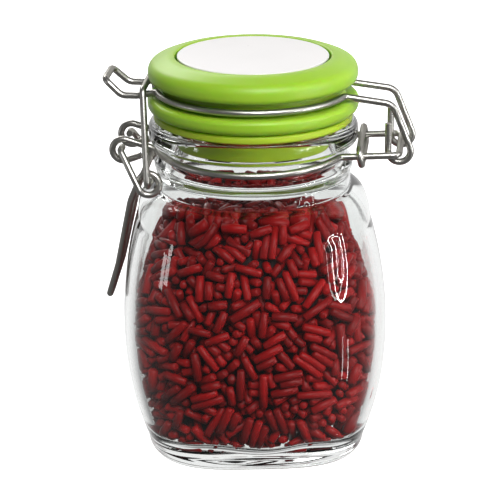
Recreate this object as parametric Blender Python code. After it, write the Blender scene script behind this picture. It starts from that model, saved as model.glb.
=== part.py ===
"""Small clip-top glass jar full of sprinkles, shut by a wire bail.

The jar stands on z = 0 with its axis on Z. The lid's hinge is on the +X side and the lever
that pulls the lid shut hangs on the -X side. Lengths are in metres.
"""

import math
import random

import bmesh
import bpy
from mathutils import Matrix, Vector

MM = 0.001
GAP = 0.3 * MM                      # air left between pieces that touch

# Glass jar
SEGMENTS = 32                       # sides of the glass
BODY_TURN = math.radians(8.0)       # the squarish body stands a little askew under its closure
FOOT_HALF_WIDTH = 21.4 * MM
FOOT_HEIGHT = 4.0 * MM              # where the foot's round edge meets the belly
FOOT_BELLY_HALF_WIDTH = 24.8 * MM
BELLY_HALF_WIDTH = 29.6 * MM
BELLY_HEIGHT = 30.3 * MM
SHOULDER_HALF_WIDTH = 25.9 * MM
SHOULDER_HEIGHT = 54.0 * MM
LOWER_SWELL = 2.2                   # how late the belly's sides curve in below its middle,
UPPER_SWELL = 1.9                   # and above it
WAIST_RADIUS = 21.7 * MM
WAIST_HEIGHT = 60.3 * MM
BEAD_RADIUS = 22.3 * MM             # low bead under the wire's groove
BEAD_HEIGHT = 65.8 * MM
GROOVE_RADIUS = 20.4 * MM
GROOVE_BOTTOM = 67.3 * MM
GROOVE_TOP = 70.7 * MM
RIM_RADIUS = 23.2 * MM
RIM_HEIGHT = 75.2 * MM
BORE_RADIUS = 18.6 * MM
THROAT_RADIUS = 19.3 * MM           # hollow of the neck below its bore
WALL = 2.1 * MM
FLOOR_HEIGHT = 4.8 * MM
FOOT_SQUARE = 3.2                   # exponents of the section: squarish at the foot,
BELLY_SQUARE = 2.8                  # softer at the belly,
ROUND = 2.0                         # and a circle at the neck

# Lid, seal and disc
TURNED_SIDES = 36
LID_RADIUS = 23.1 * MM
LID_TOP = 89.7 * MM
LID_SKIRT_RADIUS = 23.3 * MM
LID_SKIRT_BOTTOM = 77.5 * MM
LID_GROOVE_RADIUS = 20.3 * MM
LID_GROOVE_BOTTOM = 80.9 * MM
LID_GROOVE_TOP = 84.3 * MM
DISC_RADIUS = 16.8 * MM
DISC_SEAT = 88.9 * MM
SEAL_RADIUS = 22.0 * MM
SEAL_PLUG_RADIUS = 18.0 * MM
SEAL_HOLE_RADIUS = 15.2 * MM
PLUG_BOTTOM = 70.6 * MM

# Wires
WIRE_RADIUS = 0.75 * MM
WIRE_STEP = math.radians(30.0)      # turn between two points of a bend
RING_STEP = math.radians(12.0)      # turn between two points of a ring round the jar
WIRE_PITCH = 2 * WIRE_RADIUS + GAP  # distance between two wires that lie side by side
NECK_RING_RADIUS = 21.5 * MM
NECK_RING_HEIGHT = 68.4 * MM
NECK_RING_BOW = 1.0 * MM            # how far the ring's ends stand above its middle
NECK_EYE_Y = 6.3 * MM               # eyes for the lever, each side of the middle
NECK_EYE_X = -28.2 * MM
NECK_EYE_Z = 69.1 * MM
NECK_EYE_RADIUS = 2.45 * MM
HINGE_X = 32.6 * MM
HINGE_Z = 70.0 * MM
HINGE_ARM_Y = 8.6 * MM
CLIP_X = 24.3 * MM
LID_RING_RADIUS = 21.4 * MM
LID_RING_HEIGHT = 82.3 * MM
LID_ARM_Y = 6.7 * MM                # the lid wire's arms at their hooks,
LID_JUNCTION_Y = 6.3 * MM           # and where they leave the lid's groove
HOOK_RADIUS = 2.45 * MM
HOOK_TAIL_TOP = 76.6 * MM
TAB_Y = 5.8 * MM
TAB_TIP_Y = 5.2 * MM
TAB_X = -32.1 * MM
TAB_TOP = 84.8 * MM
TAB_LOW = 81.4 * MM
LEVER_X = -28.6 * MM                # pivot of the lever in the neck wire's eyes
LEVER_Z = 69.4 * MM
LEVER_Y = NECK_EYE_Y + WIRE_PITCH
LEVER_STUB_Y = 5.2 * MM             # inner ends of the lever's pins
LINK_X = -21.9 * MM                 # pivot of the link in the lever's loops
LINK_Z = 63.0 * MM
LOOP_RADIUS = 2.3 * MM
LOOP_Y = 12.6 * MM                  # the lever's sides spread round the neck to their loops
LINK_STUB_Y = 9.6 * MM              # inner ends of the link's pins
LINK_FOOT_Y = LOOP_Y + WIRE_PITCH
LINK_HEAD_Y = 7.9 * MM
LINK_HEAD_X = -23.4 * MM
HANDLE_TIP_X = -33.0 * MM
HANDLE_TIP_Z = 33.1 * MM

# Sprinkles
HEAP_SEED = 11
HEAP_SIDES = 20
HEAP_TOP = 56.6 * MM
HEAP_INSET = 1.55 * MM              # from the room the heap fills to its plain core
HEAP_BROW = (                       # half-width and height where the heap falls away from the wall
    (26.9 * MM, 38.0 * MM),
    (25.4 * MM, 44.2 * MM),
    (24.3 * MM, 47.8 * MM),
    (21.4 * MM, 52.4 * MM),
    (20.4 * MM, 58.6 * MM),
)
SPRINKLE_RADIUS = 1.0 * MM
GLASS_CLEARANCE = 0.55 * MM         # a little more than the gap, for the glass's flat facets
SPRINKLE_SIDES = 5
SPRINKLE_SHORT = 5.0 * MM
SPRINKLE_LONG = 9.0 * MM
SPRINKLES_ROUND = 13                # on the widest row of the wall
SPRINKLE_ROW_HEIGHT = 4.3 * MM


# ---------------------------------------------------------------- scene and materials

def clear_scene():
    """Remove every object, so that the file holds the jar alone."""
    for item in list(bpy.data.objects):
        bpy.data.objects.remove(item, do_unlink=True)


def make_material(name, colour, roughness, metallic=0.0, transmission=0.0):
    """Principled material in linear colour."""
    material = bpy.data.materials.new(name)
    material.use_nodes = True
    shader = material.node_tree.nodes["Principled BSDF"]
    shader.inputs["Base Color"].default_value = (*colour, 1.0)
    shader.inputs["Roughness"].default_value = roughness
    shader.inputs["Metallic"].default_value = metallic
    shader.inputs["Transmission Weight"].default_value = transmission
    material.diffuse_color = (*colour, 1.0 - 0.6 * transmission)
    return material


def add_object(name, data, material, parent=None):
    """Link a mesh or curve as a named object, under a joint's empty if it moves."""
    item = bpy.data.objects.new(name, data)
    bpy.context.scene.collection.objects.link(item)
    data.materials.append(material)
    if parent is not None:
        item.parent = parent
        item.matrix_parent_inverse = Matrix.Translation(parent.location).inverted()
    return item


def add_axis(name, x, z, parent=None):
    """Empty on a joint's axis, which runs along Y."""
    axis = bpy.data.objects.new(name, None)
    axis.empty_display_size = 10 * MM
    axis.location = (x, 0.0, z)
    bpy.context.scene.collection.objects.link(axis)
    if parent is not None:
        axis.parent = parent
        axis.matrix_parent_inverse = Matrix.Translation(parent.location).inverted()
    return axis


# ---------------------------------------------------------------- lofted and turned solids

def section_radius(half_width, power, angle):
    """Distance from the axis to a rounded-square outline, in one direction."""
    c, s = abs(math.cos(angle - BODY_TURN)), abs(math.sin(angle - BODY_TURN))
    return half_width / (c ** power + s ** power) ** (1.0 / power)


def arc_stations(start, end, steps, vertical_first):
    """Quarter ellipse between two (half-width, height, power) stations, without its start."""
    stations = []
    for step in range(1, steps + 1):
        turn = math.pi / 2 * step / steps
        rise, run = math.sin(turn), 1 - math.cos(turn)
        if not vertical_first:
            rise, run = run, rise
        blend = step / steps
        stations.append((start[0] + (end[0] - start[0]) * run,
                         start[1] + (end[1] - start[1]) * rise,
                         start[2] + (end[2] - start[2]) * blend))
    return stations


def belly_station(height, inset=0.0):
    """Half-width, height and exponent of the glass between its foot and its shoulder."""
    power = BELLY_SQUARE
    end_width, end_height, swell = SHOULDER_HALF_WIDTH, SHOULDER_HEIGHT, UPPER_SWELL
    if height < BELLY_HEIGHT:
        end_width, end_height, swell = FOOT_BELLY_HALF_WIDTH, FOOT_HEIGHT, LOWER_SWELL
        power += (FOOT_SQUARE - BELLY_SQUARE) * (height - BELLY_HEIGHT) / (FOOT_HEIGHT - BELLY_HEIGHT)
    share = (height - BELLY_HEIGHT) / (end_height - BELLY_HEIGHT)
    half_width = BELLY_HALF_WIDTH - (BELLY_HALF_WIDTH - end_width) * share ** swell
    return (half_width - inset, height, power)


def belly_stations(low, high, steps, inset=0.0):
    """Stations up the belly, from low to high, both left out."""
    return [belly_station(low + (high - low) * step / steps, inset) for step in range(1, steps)]


def glass_outside():
    """Stations from the edge of the flat foot up to the top of the rim."""
    foot = (FOOT_HALF_WIDTH, 0.0, FOOT_SQUARE)
    hip = belly_station(FOOT_HEIGHT)
    shoulder = belly_station(SHOULDER_HEIGHT)
    waist = (WAIST_RADIUS, WAIST_HEIGHT, ROUND)
    stations = [foot] + arc_stations(foot, hip, 3, vertical_first=False)
    stations += belly_stations(FOOT_HEIGHT, SHOULDER_HEIGHT, 7) + [shoulder]
    stations += arc_stations(shoulder, waist, 4, vertical_first=True)
    stations += [(WAIST_RADIUS - 0.1 * MM, WAIST_HEIGHT + 1.6 * MM, ROUND),
                 (BEAD_RADIUS - 0.5 * MM, BEAD_HEIGHT - 1.5 * MM, ROUND),
                 (BEAD_RADIUS, BEAD_HEIGHT, ROUND),
                 (BEAD_RADIUS - 0.5 * MM, GROOVE_BOTTOM - 0.2 * MM, ROUND),
                 (GROOVE_RADIUS, GROOVE_BOTTOM, ROUND),
                 (GROOVE_RADIUS, GROOVE_TOP, ROUND),
                 (RIM_RADIUS - 0.8 * MM, GROOVE_TOP, ROUND),
                 (RIM_RADIUS, GROOVE_TOP + 0.9 * MM, ROUND),
                 (RIM_RADIUS, RIM_HEIGHT - 1.1 * MM, ROUND),
                 (RIM_RADIUS - 0.9 * MM, RIM_HEIGHT - 0.1 * MM, ROUND),
                 (RIM_RADIUS - 1.6 * MM, RIM_HEIGHT, ROUND)]
    return stations


def cavity_stations():
    """Stations of the hollow, from the top of its bore down to its floor."""
    shoulder = belly_station(SHOULDER_HEIGHT - 1.5 * MM, WALL)
    throat = (THROAT_RADIUS, WAIST_HEIGHT - 1.1 * MM, ROUND)
    floor_edge = belly_station(FLOOR_HEIGHT + 5.0 * MM, WALL)
    floor = (floor_edge[0] - 5.4 * MM, FLOOR_HEIGHT, FOOT_SQUARE)
    stations = [(BORE_RADIUS, RIM_HEIGHT - 1.4 * MM, ROUND),
                (BORE_RADIUS, GROOVE_BOTTOM, ROUND),
                (THROAT_RADIUS, GROOVE_BOTTOM - 3.0 * MM, ROUND),
                throat]
    stations += arc_stations(throat, shoulder, 4, vertical_first=False)
    stations += belly_stations(shoulder[1], floor_edge[1], 6, inset=WALL) + [floor_edge]
    stations += arc_stations(floor_edge, floor, 3, vertical_first=True)
    return stations


def loft(name, stations, sides):
    """Closed solid through rings of points, with a flat cap at each end."""
    mesh = bmesh.new()
    rings = []
    for half_width, height, power in stations:
        ring = []
        for side in range(sides):
            angle = BODY_TURN + math.tau * side / sides
            reach = section_radius(half_width, power, angle)
            ring.append(mesh.verts.new((reach * math.cos(angle), reach * math.sin(angle), height)))
        rings.append(ring)
    for lower, upper in zip(rings, rings[1:]):
        for side in range(sides):
            after = (side + 1) % sides
            mesh.faces.new((lower[side], lower[after], upper[after], upper[side]))
    mesh.faces.new(list(reversed(rings[0])))
    mesh.faces.new(rings[-1])
    return finish_mesh(mesh, name)


def turn(name, profile, sides, ring=False):
    """Solid of revolution about Z; a ring joins its profile's last point to the first."""
    mesh = bmesh.new()
    rows = []
    for radius, height in profile:
        if radius == 0.0:
            rows.append([mesh.verts.new((0.0, 0.0, height))] * sides)
            continue
        angles = [math.tau * side / sides for side in range(sides)]
        rows.append([mesh.verts.new((radius * math.cos(a), radius * math.sin(a), height)) for a in angles])
    pairs = list(zip(rows, rows[1:]))
    if ring:
        pairs.append((rows[-1], rows[0]))
    for lower, upper in pairs:
        for side in range(sides):
            after = (side + 1) % sides
            corners = [lower[side], lower[after], upper[after], upper[side]]
            mesh.faces.new(list(dict.fromkeys(corners)))
    return finish_mesh(mesh, name)


def finish_mesh(mesh, name, smooth_angle=35.0):
    """Turn a bmesh into smooth-shaded mesh data whose faces point out."""
    bmesh.ops.recalc_face_normals(mesh, faces=mesh.faces)
    data = bpy.data.meshes.new(name)
    mesh.to_mesh(data)
    mesh.free()
    data.shade_smooth()
    data.set_sharp_from_angle(angle=math.radians(smooth_angle))
    return data


# ---------------------------------------------------------------- bent wires

def bend(corners):
    """Centre line through (x, y, z, bend radius) corners, with an arc at each bent one."""
    points = []
    for index, corner in enumerate(corners):
        place, radius = Vector(corner[:3]), corner[3]
        if radius == 0.0 or index in (0, len(corners) - 1):
            points.append(place)
            continue
        before = (Vector(corners[index - 1][:3]) - place).normalized()
        after = (Vector(corners[index + 1][:3]) - place).normalized()
        turn_angle = math.pi - before.angle(after)
        setback = radius * math.tan(turn_angle / 2)
        middle = (before + after).normalized()
        centre = place + middle * radius / math.cos(turn_angle / 2)
        start = place + before * setback - centre
        axis = before.cross(after).normalized()
        steps = max(1, round(turn_angle / WIRE_STEP))
        for step in range(steps + 1):
            points.append(centre + Matrix.Rotation(-turn_angle * step / steps, 3, axis) @ start)
    return points


def coil(centre_x, centre_z, radius, start, end, y_start, y_end):
    """Corners round an eye, a loop or a hook, from start to end degrees seen from -Y."""
    steps = max(2, round(abs(math.radians(end - start)) / WIRE_STEP))
    corners = []
    for step in range(steps + 1):
        share = step / steps
        angle = math.radians(start + (end - start) * share)
        corners.append((centre_x + radius * math.cos(angle), y_start + (y_end - y_start) * share,
                        centre_z + radius * math.sin(angle), 0.0))
    return corners


def front_ring(radius, height, left_y, right_y, bow=0.0):
    """Corners round the front of the jar, from its left junction to its right one."""
    left = math.pi + math.asin(left_y / radius)
    right = math.tau - math.asin(right_y / radius)
    steps = round((right - left) / RING_STEP)
    corners = []
    for step in range(steps + 1):
        angle = left + (right - left) * step / steps
        x = radius * math.cos(angle)
        bend_radius = 1.2 * MM if step in (0, steps) else 0.0
        corners.append((x, radius * math.sin(angle), height + bow * (x / radius) ** 2, bend_radius))
    return corners


def mirrored(points):
    """Both halves of a wire, from its front half that ends on the middle plane."""
    rear = [Vector((point.x, -point.y, point.z)) for point in reversed(points[:-1])]
    return points + rear


def wire_curve(name, points, closed=False):
    """Round wire along a centre line, with flat ends."""
    curve = bpy.data.curves.new(name, "CURVE")
    curve.dimensions = "3D"
    curve.bevel_depth = WIRE_RADIUS
    curve.bevel_resolution = 1
    curve.use_fill_caps = not closed
    spline = curve.splines.new("POLY")
    spline.points.add(len(points) - 1)
    for slot, point in zip(spline.points, points):
        slot.co = (*point, 1.0)
    spline.use_cyclic_u = closed
    spline.use_smooth = True
    return curve


def neck_wire_path():
    """Eye for the lever, round the front of the neck, and out to the hinge's crossbar."""
    y = -NECK_EYE_Y
    corners = [(-24.2 * MM, y, 68.0 * MM, 0.0)]
    corners += coil(NECK_EYE_X, NECK_EYE_Z, NECK_EYE_RADIUS, 290.0, 78.5, y, y)
    corners += [(-22.7 * MM, y, 70.0 * MM, 1.5 * MM)]
    corners += front_ring(NECK_RING_RADIUS, NECK_RING_HEIGHT, NECK_EYE_Y, HINGE_ARM_Y, NECK_RING_BOW)
    corners += [(HINGE_X, -HINGE_ARM_Y, HINGE_Z, 1.6 * MM), (HINGE_X, 0.0, HINGE_Z, 0.0)]
    return mirrored(bend(corners))


def lid_wire_path():
    """Hook under the crossbar, over to the lid, round its groove and out to the tab."""
    y = -LID_ARM_Y
    hook_z = HINGE_Z + 0.4 * MM
    corners = [(HINGE_X - HOOK_RADIUS, y, HOOK_TAIL_TOP, 0.0)]
    corners += coil(HINGE_X, hook_z, HOOK_RADIUS, 180.0, 384.0, y, y)
    corners += [(31.0 * MM, -0.5 * (LID_ARM_Y + LID_JUNCTION_Y), 80.9 * MM, 3.0 * MM)]
    corners += reversed(front_ring(LID_RING_RADIUS, LID_RING_HEIGHT, TAB_Y, LID_JUNCTION_Y))
    corners += [(-24.8 * MM, -TAB_Y, TAB_LOW, 3.0 * MM),
                (-28.4 * MM, -TAB_Y, TAB_LOW, 2.6 * MM),
                (TAB_X, -TAB_TIP_Y, TAB_TOP, 1.6 * MM),
                (TAB_X, 0.0, TAB_TOP, 0.0)]
    return mirrored(bend(corners))


def lever_wire_path():
    """Pin in the neck wire's eye, down to the loop for the link, and along the handle."""
    reach = math.hypot(LINK_X - LEVER_X, LINK_Z - LEVER_Z)
    slope = math.atan2(LINK_Z - LEVER_Z, LINK_X - LEVER_X)
    loop_start = math.degrees(slope) - 90.0 - math.degrees(math.asin(LOOP_RADIUS / reach)) + 360.0
    inner_y = LOOP_Y - WIRE_PITCH
    corners = [(LEVER_X, -LEVER_STUB_Y, LEVER_Z, 0.0), (LEVER_X, -LEVER_Y, LEVER_Z, 1.2 * MM)]
    corners += coil(LINK_X, LINK_Z, LOOP_RADIUS, loop_start, 521.6, -LOOP_Y, -inner_y)
    corners += [(-27.0 * MM, -5.5 * MM, 57.0 * MM, 3.0 * MM),
                (-30.5 * MM, -3.3 * MM, 41.0 * MM, 6.0 * MM),
                (HANDLE_TIP_X, -1.5 * MM, HANDLE_TIP_Z, 1.3 * MM),
                (HANDLE_TIP_X, 0.0, HANDLE_TIP_Z, 0.0)]
    return mirrored(bend(corners))


def link_wire_path():
    """Pin in the lever's loop, and up its leg to the bar that lies over the tab."""
    head_z = TAB_LOW + WIRE_PITCH + 0.15 * MM
    corners = [(LINK_X, -LINK_STUB_Y, LINK_Z, 0.0),
               (LINK_X, -LINK_FOOT_Y, LINK_Z, 1.2 * MM),
               (LINK_HEAD_X, -LINK_HEAD_Y, head_z, 1.6 * MM),
               (LINK_HEAD_X, 0.0, head_z, 0.0)]
    return mirrored(bend(corners))


def hinge_clip_path():
    """Closed oval that holds the two hinge arms together beside the rim."""
    arm_z = HINGE_Z - 0.5 * MM
    lean = math.radians(8.0)
    points = []
    for side, start in ((1.0, -90.0), (-1.0, 90.0)):
        for step in range(5):
            angle = math.radians(start + 45.0 * step)
            y = side * HINGE_ARM_Y + WIRE_PITCH * math.cos(angle)
            rise = WIRE_PITCH * math.sin(angle)
            points.append(Vector((CLIP_X - rise * math.sin(lean), y, arm_z + rise * math.cos(lean))))
    return points


# ---------------------------------------------------------------- lid

def lid_cover_profile():
    """Moulded cover: boss, skirt, groove for the wire, crown and seat for the disc."""
    boss = SEAL_HOLE_RADIUS - GAP
    seat = DISC_RADIUS + GAP
    return [(0.0, PLUG_BOTTOM), (boss - 0.4 * MM, PLUG_BOTTOM), (boss, PLUG_BOTTOM + 0.4 * MM),
            (boss, LID_SKIRT_BOTTOM), (LID_SKIRT_RADIUS - 1.6 * MM, LID_SKIRT_BOTTOM),
            (LID_SKIRT_RADIUS - 0.5 * MM, LID_SKIRT_BOTTOM + 0.7 * MM),
            (LID_SKIRT_RADIUS, LID_SKIRT_BOTTOM + 1.9 * MM),
            (LID_SKIRT_RADIUS - 0.3 * MM, LID_GROOVE_BOTTOM - 0.5 * MM),
            (LID_SKIRT_RADIUS - 1.1 * MM, LID_GROOVE_BOTTOM),
            (LID_GROOVE_RADIUS, LID_GROOVE_BOTTOM), (LID_GROOVE_RADIUS, LID_GROOVE_TOP),
            (LID_RADIUS - 0.9 * MM, LID_GROOVE_TOP), (LID_RADIUS - 0.2 * MM, LID_GROOVE_TOP + 0.6 * MM),
            (LID_RADIUS, LID_GROOVE_TOP + 1.6 * MM), (LID_RADIUS - 0.6 * MM, LID_TOP - 2.2 * MM),
            (LID_RADIUS - 1.9 * MM, LID_TOP - 1.0 * MM), (LID_RADIUS - 3.8 * MM, LID_TOP - 0.25 * MM),
            (seat + 0.5 * MM, LID_TOP), (seat, LID_TOP - 0.2 * MM), (seat, DISC_SEAT), (0.0, DISC_SEAT)]


def seal_profile():
    """Soft ring: a flange that lies on the rim and a short plug that enters the bore."""
    top = LID_SKIRT_BOTTOM - GAP
    flange_bottom = RIM_HEIGHT + GAP
    return [(SEAL_HOLE_RADIUS, PLUG_BOTTOM), (SEAL_PLUG_RADIUS - 0.7 * MM, PLUG_BOTTOM),
            (SEAL_PLUG_RADIUS, flange_bottom - 0.8 * MM), (SEAL_PLUG_RADIUS + 0.2 * MM, flange_bottom),
            (SEAL_RADIUS - 0.3 * MM, flange_bottom), (SEAL_RADIUS, flange_bottom + 0.4 * MM),
            (SEAL_RADIUS, top - 0.3 * MM), (SEAL_RADIUS - 0.3 * MM, top), (SEAL_HOLE_RADIUS, top)]


def lid_disc_profile():
    """Flat disc with an eased edge, inset in the crown."""
    bottom = DISC_SEAT + GAP
    return [(0.0, bottom), (DISC_RADIUS, bottom), (DISC_RADIUS, LID_TOP - 0.25 * MM),
            (DISC_RADIUS - 0.3 * MM, LID_TOP), (0.0, LID_TOP)]


# ---------------------------------------------------------------- sprinkles

def outline_at(stations, height):
    """Half-width and section exponent at one height, from stations that rise."""
    if height <= stations[0][1]:
        return stations[0][0], stations[0][2]
    for low, high in zip(stations, stations[1:]):
        if low[1] <= height <= high[1]:
            share = (height - low[1]) / (high[1] - low[1])
            return (low[0] + (high[0] - low[0]) * share, low[2] + (high[2] - low[2]) * share)
    return stations[-1][0], stations[-1][2]


def heap_outline(height):
    """Half-width and exponent of the room the heap fills: the hollow, then the heap's brow."""
    hollow = outline_at(sorted(cavity_stations(), key=lambda station: station[1]), height)
    if height <= HEAP_BROW[0][1]:
        return hollow
    last = len(HEAP_BROW) - 1
    brow = [(half_width, place, BELLY_SQUARE + (ROUND - BELLY_SQUARE) * index / last)
            for index, (half_width, place) in enumerate(HEAP_BROW)]
    return min(hollow, outline_at(brow, height))


def heap_core():
    """Plain body of the heap: the form of the room it fills, drawn in."""
    low = FLOOR_HEIGHT + HEAP_INSET
    heights = [low, low + 1.6 * MM, low + 4.0 * MM]
    heights += [low + 4.0 * MM + (HEAP_TOP - low - 13.0 * MM) * step / 3 for step in range(1, 4)]
    heights += [HEAP_TOP - 4.2 * MM, HEAP_TOP]
    stations = []
    for index, height in enumerate(heights):
        half_width, power = heap_outline(height - (HEAP_INSET if index < 2 else 0.0))
        stations.append((half_width - HEAP_INSET, height, power))
    return loft("sprinkles", stations, HEAP_SIDES)


def overshoot(point):
    """How far a sprinkle's round end, centred here, reaches past its clearance to the glass."""
    reach = SPRINKLE_RADIUS + GLASS_CLEARANCE
    distance = math.hypot(point.x, point.y)
    angle = math.atan2(point.y, point.x)
    worst = -BORE_RADIUS
    for degrees in (-60, -30, 0, 30, 60):
        tilt = math.radians(degrees)
        half_width, power = heap_outline(point.z + reach * math.sin(tilt))
        limit = section_radius(half_width, power, angle) - reach * math.cos(tilt)
        worst = max(worst, distance - limit)
    return worst


def keep_inside(centre, along, half_length):
    """Draw a sprinkle in towards the axis until all of it clears the glass."""
    low = FLOOR_HEIGHT + SPRINKLE_RADIUS + GAP
    lowest = centre.z - abs(along.z) * half_length
    centre.z += max(0.0, low - lowest)
    for _ in range(20):
        points = [centre + along * half_length * share for share in (-0.9, -0.45, 0.0, 0.45, 0.9)]
        worst = max(overshoot(point) for point in points)
        if worst <= 0.0:
            break
        inward = Vector((-centre.x, -centre.y, 0.0)).normalized()
        centre += inward * (worst + 0.02 * MM)
    return centre


def sprinkle_mesh(centre, along, length, roll):
    """Short rod with domed ends, as an object for the union."""
    mesh = bmesh.new()
    half = length / 2
    side = along.orthogonal().normalized()
    other = along.cross(side)
    rings = []
    for place in (-half + 0.5 * SPRINKLE_RADIUS, half - 0.5 * SPRINKLE_RADIUS):
        ring = []
        for index in range(SPRINKLE_SIDES):
            angle = roll + math.tau * index / SPRINKLE_SIDES
            offset = side * math.cos(angle) + other * math.sin(angle)
            ring.append(mesh.verts.new(centre + along * place + offset * SPRINKLE_RADIUS))
        rings.append(ring)
    tips = [mesh.verts.new(centre - along * half), mesh.verts.new(centre + along * half)]
    for index in range(SPRINKLE_SIDES):
        after = (index + 1) % SPRINKLE_SIDES
        mesh.faces.new((rings[0][index], rings[0][after], rings[1][after], rings[1][index]))
        mesh.faces.new((tips[0], rings[0][after], rings[0][index]))
        mesh.faces.new((tips[1], rings[1][index], rings[1][after]))
    return finish_mesh(mesh, "sprinkle")


def wall_sprinkles(rng):
    """Sprinkles that lie against the glass, in rows with a jittered spread."""
    rows = []
    low = FLOOR_HEIGHT + 2.4 * MM
    row_count = int((HEAP_TOP - low) / SPRINKLE_ROW_HEIGHT)
    for row in range(row_count):
        height = low + SPRINKLE_ROW_HEIGHT * (row + 0.5)
        half_width, power = heap_outline(height)
        count = max(6, round(SPRINKLES_ROUND * half_width / (BELLY_HALF_WIDTH - WALL)))
        for index in range(count):
            angle = math.tau * (index + 0.5 * (row % 2) + rng.uniform(-0.2, 0.2)) / count
            z = height + rng.uniform(-0.9, 0.9) * MM
            reach = section_radius(half_width - SPRINKLE_RADIUS - GLASS_CLEARANCE, power, angle)
            centre = Vector((reach * math.cos(angle), reach * math.sin(angle), z))
            round_wall = Vector((-math.sin(angle), math.cos(angle), 0.0))
            lean = rng.uniform(0.0, math.pi)
            along = round_wall * math.cos(lean) + Vector((0.0, 0.0, 1.0)) * math.sin(lean)
            rows.append((centre, along.normalized(), rng.uniform(SPRINKLE_SHORT, SPRINKLE_LONG)))
    return rows


def flat_sprinkles(rng, height, radius, count, rise):
    """Sprinkles spread over the heap's top or bottom face, lying nearly level."""
    golden = math.pi * (3 - math.sqrt(5))
    places = []
    for index in range(count):
        reach = radius * math.sqrt((index + 0.5) / count)
        angle = index * golden
        centre = Vector((reach * math.cos(angle), reach * math.sin(angle), height))
        lean = rng.uniform(0.0, math.tau)
        along = Vector((math.cos(lean), math.sin(lean), rng.uniform(-rise, rise)))
        places.append((centre, along.normalized(), rng.uniform(SPRINKLE_SHORT, SPRINKLE_LONG)))
    return places


def largest_body(mesh):
    """Drop loose scraps and sealed hollows that the union leaves, keeping the outer skin."""
    islands = []
    left = set(mesh.faces)
    while left:
        island, front = set(), [left.pop()]
        while front:
            face = front.pop()
            island.add(face)
            for edge in face.edges:
                if len(edge.link_faces) > 2:
                    continue
                for neighbour in edge.link_faces:
                    if neighbour in left:
                        left.remove(neighbour)
                        front.append(neighbour)
        islands.append(island)
    islands.sort(key=len, reverse=True)
    scraps = [face for island in islands[1:] for face in island]
    bmesh.ops.delete(mesh, geom=scraps, context="FACES")


def build_sprinkles(material):
    """One heap: a plain core with the sprinkles that show fused on it."""
    rng = random.Random(HEAP_SEED)
    places = wall_sprinkles(rng)
    places += flat_sprinkles(rng, FLOOR_HEIGHT + 1.45 * MM, 17.0 * MM, 16, 0.05)
    places += flat_sprinkles(rng, HEAP_TOP + 0.35 * MM, 12.5 * MM, 12, 0.2)
    heap = add_object("sprinkles", heap_core(), material)
    pieces = bpy.data.collections.new("loose sprinkles")
    bpy.context.scene.collection.children.link(pieces)
    for centre, along, length in places:
        centre = keep_inside(centre, along, length / 2)
        data = sprinkle_mesh(centre, along, length, rng.uniform(0.0, math.tau))
        pieces.objects.link(bpy.data.objects.new("sprinkle", data))
    union = heap.modifiers.new("fuse", "BOOLEAN")
    union.operation = "UNION"
    union.operand_type = "COLLECTION"
    union.collection = pieces
    union.solver = "EXACT"
    graph = bpy.context.evaluated_depsgraph_get()
    fused = bpy.data.meshes.new_from_object(heap.evaluated_get(graph))
    heap.modifiers.remove(union)
    for item in list(pieces.objects):
        bpy.data.objects.remove(item, do_unlink=True)
    bpy.data.collections.remove(pieces)
    mesh = bmesh.new()
    mesh.from_mesh(fused)
    bmesh.ops.remove_doubles(mesh, verts=mesh.verts, dist=0.002 * MM)
    largest_body(mesh)
    bmesh.ops.triangulate(mesh, faces=mesh.faces)
    heap.data = finish_mesh(mesh, "sprinkles")
    heap.data.materials.append(material)
    return heap


# ---------------------------------------------------------------- assembly

def main():
    """Build the jar with its lid shut and its bail pulled tight."""
    clear_scene()
    glass = make_material("soda-lime glass", (0.86, 0.9, 0.9), 0.02, transmission=1.0)
    green = make_material("lime green plastic", (0.27, 0.5, 0.045), 0.35)
    silicone = make_material("yellow-green silicone", (0.36, 0.45, 0.02), 0.5)
    white = make_material("white plastic", (0.85, 0.83, 0.82), 0.3)
    steel = make_material("steel wire", (0.42, 0.41, 0.38), 0.3, metallic=1.0)
    sugar = make_material("red sugar", (0.3, 0.012, 0.01), 0.45)

    lid_axis = add_axis("lid_axis", HINGE_X, HINGE_Z)
    lever_axis = add_axis("lever_axis", LEVER_X, LEVER_Z)
    link_axis = add_axis("link_axis", LINK_X, LINK_Z, parent=lever_axis)

    cavity_top = (BORE_RADIUS + 1.2 * MM, RIM_HEIGHT, ROUND)
    jar = loft("glass_jar", glass_outside() + [cavity_top] + cavity_stations(), SEGMENTS)
    add_object("glass_jar", jar, glass)
    build_sprinkles(sugar)
    add_object("neck_wire", wire_curve("neck_wire", neck_wire_path()), steel)
    add_object("hinge_clip", wire_curve("hinge_clip", hinge_clip_path(), closed=True), steel)

    add_object("lid_cover", turn("lid_cover", lid_cover_profile(), TURNED_SIDES), green, lid_axis)
    add_object("seal_ring", turn("seal_ring", seal_profile(), TURNED_SIDES, ring=True), silicone, lid_axis)
    add_object("lid_disc", turn("lid_disc", lid_disc_profile(), TURNED_SIDES), white, lid_axis)
    add_object("lid_wire", wire_curve("lid_wire", lid_wire_path()), steel, lid_axis)
    add_object("lever_wire", wire_curve("lever_wire", lever_wire_path()), steel, lever_axis)
    add_object("link_wire", wire_curve("link_wire", link_wire_path()), steel, link_axis)


main()
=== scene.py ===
"""Looks of a small clip-top glass jar full of red sugar strands, built over its solids.

Lengths are in metres and every point is in the frame of the solids: the jar stands on z = 0
with its axis on Z, its lid hinges on the +X side and its lever hangs on the -X side.
"""

import logging
import math
from dataclasses import dataclass, field
from enum import Enum
from typing import Any, Sequence

import bmesh
import bpy
import numpy as np
from mathutils import Matrix, Vector, noise


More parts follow.
